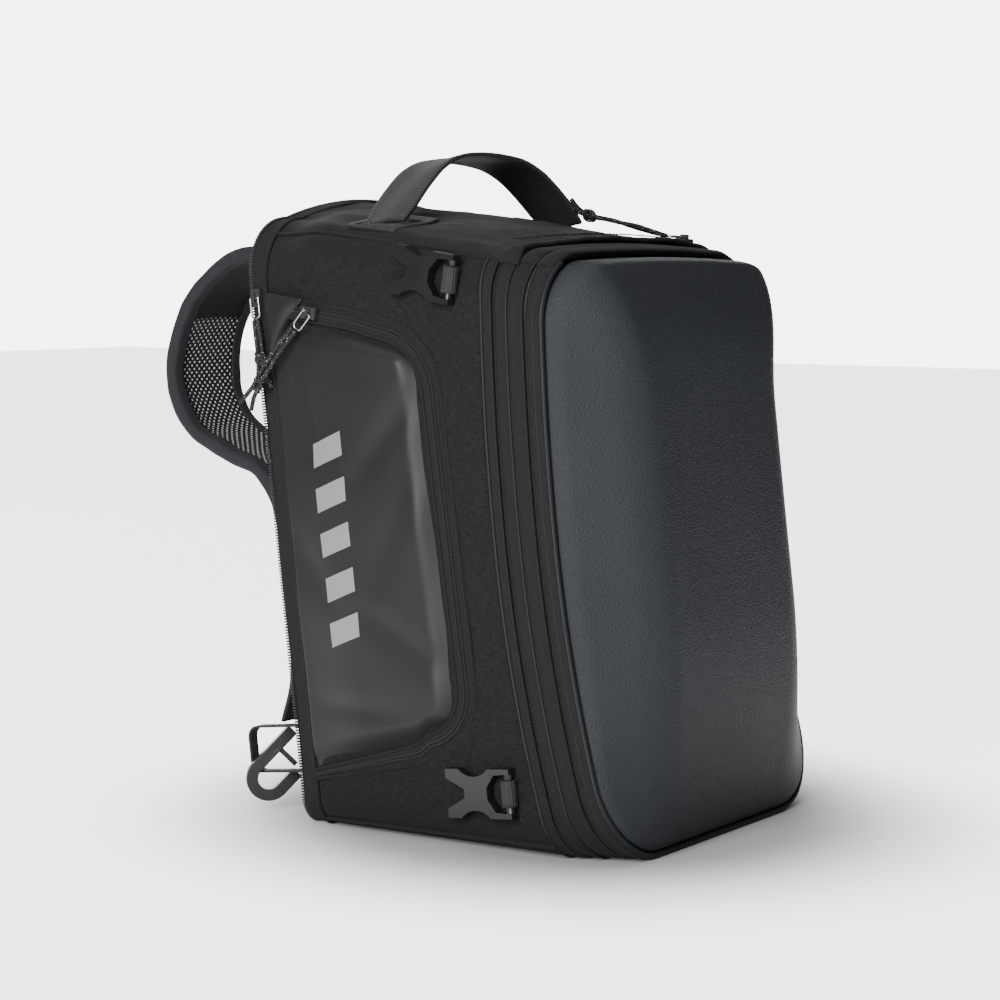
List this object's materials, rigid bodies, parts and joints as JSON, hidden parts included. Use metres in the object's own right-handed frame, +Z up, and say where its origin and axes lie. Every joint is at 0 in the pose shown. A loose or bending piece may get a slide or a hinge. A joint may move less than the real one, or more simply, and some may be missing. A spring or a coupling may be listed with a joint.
{
  "type": "motorcycle tail bag",
  "caption": "Upright soft tail bag with a domed moulded lid, expansion zip, side pockets, quick-release buckles, grab handle and shoulder straps for carrying as a backpack.",
  "frame": {"origin": "middle of the bounding box on the ground that the bag stands on", "axes": "+Z up, -Y towards the moulded lid, +Y towards the shoulder straps, +X the bag's right-hand side seen from the lid"},
  "size_m": [0.2982, 0.4096, 0.4557],
  "materials": {
    "side_fabric": "woven two-tone polyester",
    "top_fabric": "fine woven polyester",
    "back_mesh": "padded spacer mesh",
    "zip_tape": "woven zip tape with coil",
    "lining": "smooth lining cloth",
    "board": "matte",
    "shell_leather": "grained coated leather over foam",
    "coated_fabric": "smooth coated fabric",
    "webbing": "ribbed webbing",
    "plastic": "satin moulded",
    "wire": "polished wire",
    "cord": "round braid with reflective flecks",
    "slider_metal": "black paint"
  },
  "bodies": {
    "root": {"side_panel_left": "side_fabric", "side_panel_right": "side_fabric", "top_panel": "top_fabric", "bottom_panel": "side_fabric", "back_panel": "back_mesh", "back_zip_tape": "zip_tape", "frame_sheet": "board", "bottom_board": "board", "liner": "lining", "back_cover": "lining", "cover_sleeve": "lining", "expander_tape_body": "zip_tape", "pocket_panel_left": "coated_fabric", "pocket_panel_right": "coated_fabric", "pocket_zip_left": "zip_tape", "pocket_zip_right": "zip_tape", "buckle_loops": "webbing", "handle_patches": "webbing", "strap_left": "back_mesh", "strap_right": "back_mesh", "strap_webbing_left": "webbing", "strap_webbing_right": "webbing", "strap_adjuster_left": "plastic", "strap_adjuster_right": "plastic", "strap_hook_left": "plastic", "strap_hook_right": "plastic", "hook_loops": "webbing"},
    "front": {"expander_gusset": "lining", "expander_tape_front": "zip_tape", "front_frame": "board", "lid_tape_body": "zip_tape", "hinge_strip": "top_fabric"},
    "lid": {"lid_tape": "zip_tape", "lid_rim": "zip_tape", "lid_shell": "shell_leather", "lid_lining": "lining"},
    "handle": {"handle": "webbing"},
    "expander_slider": {"expander_slider": "slider_metal"},
    "expander_pull": {"expander_pull": "wire", "expander_cord": "cord"},
    "lid_slider": {"lid_slider": "slider_metal"},
    "lid_pull": {"lid_pull": "wire", "lid_cord": "cord"},
    "back_slider": {"back_slider": "slider_metal"},
    "back_pull": {"back_pull": "wire", "back_cord": "cord"},
    "buckle_upper_left": {"buckle_upper_left": "plastic"},
    "buckle_lower_left": {"buckle_lower_left": "plastic"},
    "pocket_slider_left": {"pocket_slider_left": "slider_metal"},
    "pocket_pull_left": {"pocket_pull_left": "wire", "pocket_cord_left": "cord"},
    "hook_gate_left": {"hook_gate_left": "plastic"},
    "buckle_upper_right": {"buckle_upper_right": "plastic"},
    "buckle_lower_right": {"buckle_lower_right": "plastic"},
    "pocket_slider_right": {"pocket_slider_right": "slider_metal"},
    "pocket_pull_right": {"pocket_pull_right": "wire", "pocket_cord_right": "cord"},
    "hook_gate_right": {"hook_gate_right": "plastic"}
  },
  "joints": [
    {"name": "expansion", "type": "slide", "parent": "root", "child": "front", "axis": [0, -0.9925, 0.1219], "range_m": [0, 0.045]},
    {"name": "lid_hinge", "type": "hinge", "parent": "front", "child": "lid", "pos_m": [0, -0.12571, 0.39082], "axis": [-1, 0, 0], "range_deg": [0, 110]},
    {"name": "handle_fold", "type": "hinge", "parent": "root", "child": "handle", "pos_m": [0, 0.0149, 0.41191], "axis": [1, 0, 0], "range_deg": [-28, 45], "stiffness_Nm_per_rad": 0.06},
    {"name": "buckle_upper_left_swing", "type": "hinge", "parent": "root", "child": "buckle_upper_left", "pos_m": [-0.1401, -0.06391, 0.369], "axis": [0, -0.1564, 0.9877], "range_deg": [0, 100]},
    {"name": "buckle_lower_left_swing", "type": "hinge", "parent": "root", "child": "buckle_lower_left", "pos_m": [-0.1401, -0.10996, 0.04318], "axis": [0, 0.1045, 0.9945], "range_deg": [0, 100]},
    {"name": "pocket_slider_left_travel", "type": "slide", "parent": "root", "child": "pocket_slider_left", "axis": [0, -0.9917, -0.1288], "range_m": [0, 0.026]},
    {"name": "pocket_pull_left_swing", "type": "hinge", "parent": "pocket_slider_left", "child": "pocket_pull_left", "pos_m": [-0.1449, 0.05019, 0.34642], "axis": [0, 0.7314, 0.682], "range_deg": [0, 80]},
    {"name": "hook_gate_left_swing", "type": "hinge", "parent": "root", "child": "hook_gate_left", "pos_m": [-0.11239, 0.10633, 0.04551], "axis": [0.7071, 0.7018, -0.0862], "range_deg": [0, 20], "stiffness_Nm_per_rad": 0.01, "springref_deg": -8.59},
    {"name": "buckle_upper_right_swing", "type": "hinge", "parent": "root", "child": "buckle_upper_right", "pos_m": [0.1401, -0.06391, 0.369], "axis": [0, 0.1564, -0.9877], "range_deg": [0, 100]},
    {"name": "buckle_lower_right_swing", "type": "hinge", "parent": "root", "child": "buckle_lower_right", "pos_m": [0.1401, -0.10996, 0.04318], "axis": [0, -0.1045, -0.9945], "range_deg": [0, 100]},
    {"name": "pocket_slider_right_travel", "type": "slide", "parent": "root", "child": "pocket_slider_right", "axis": [0, -0.9917, -0.1288], "range_m": [0, 0.026]},
    {"name": "pocket_pull_right_swing", "type": "hinge", "parent": "pocket_slider_right", "child": "pocket_pull_right", "pos_m": [0.1449, 0.05019, 0.34642], "axis": [0, -0.7314, -0.682], "range_deg": [0, 80]},
    {"name": "hook_gate_right_swing", "type": "hinge", "parent": "root", "child": "hook_gate_right", "pos_m": [0.11239, 0.10633, 0.04551], "axis": [0.7071, -0.7018, 0.0862], "range_deg": [0, 20], "stiffness_Nm_per_rad": 0.01, "springref_deg": -8.59},
    {"name": "back_slider_travel", "type": "slide", "parent": "root", "child": "back_slider", "axis": [0, -0.1219, -0.9925], "range_m": [0, 0.25]},
    {"name": "back_pull_swing", "type": "hinge", "parent": "back_slider", "child": "back_pull", "pos_m": [-0.1398, 0.09972, 0.35596], "axis": [0, 0.9925, -0.1219], "range_deg": [0, 80]},
    {"name": "expander_slider_travel", "type": "slide", "parent": "root", "child": "expander_slider", "axis": [-0.9992, 0.0049, 0.0397], "range_m": [0, 0.075]},
    {"name": "expander_pull_swing", "type": "hinge", "parent": "expander_slider", "child": "expander_pull", "pos_m": [0.09, -0.09919, 0.39749], "axis": [0.5592, 0.8253, 0.0781], "range_deg": [0, 70]},
    {"name": "lid_slider_travel", "type": "slide", "parent": "front", "child": "lid_slider", "axis": [0, -0.0175, -0.9998], "range_m": [0, 0.1]},
    {"name": "lid_pull_swing", "type": "hinge", "parent": "lid_slider", "child": "lid_pull", "pos_m": [0.1398, -0.12154, 0.34686], "axis": [0, -0.9998, 0.0175], "range_deg": [0, 80]}
  ]
}
